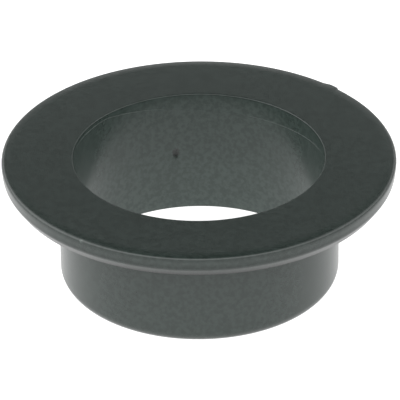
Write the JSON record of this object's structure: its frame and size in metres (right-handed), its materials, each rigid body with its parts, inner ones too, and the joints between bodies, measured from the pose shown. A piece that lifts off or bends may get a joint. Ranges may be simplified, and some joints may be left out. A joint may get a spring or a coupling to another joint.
{
  "type": "flanged bushing",
  "caption": "Short plain sleeve bushing with a wide thin flange at one end, moulded in dark grey plastic as one piece.",
  "frame": {"origin": "on the bore's axis, in the plane of the sleeve's free end, which it stands on", "axes": "+Z along the bore's axis, from the sleeve end up to the flange; the cut-off gate on the rim is 45.5 degrees from +X towards +Y"},
  "size_m": [0.0394, 0.0394, 0.0133],
  "materials": {
    "dark_grey_plastic": "moulded satin, dark grey with a slight green cast"
  },
  "bodies": {
    "root": {"bushing": "dark_grey_plastic"}
  },
  "joints": []
}
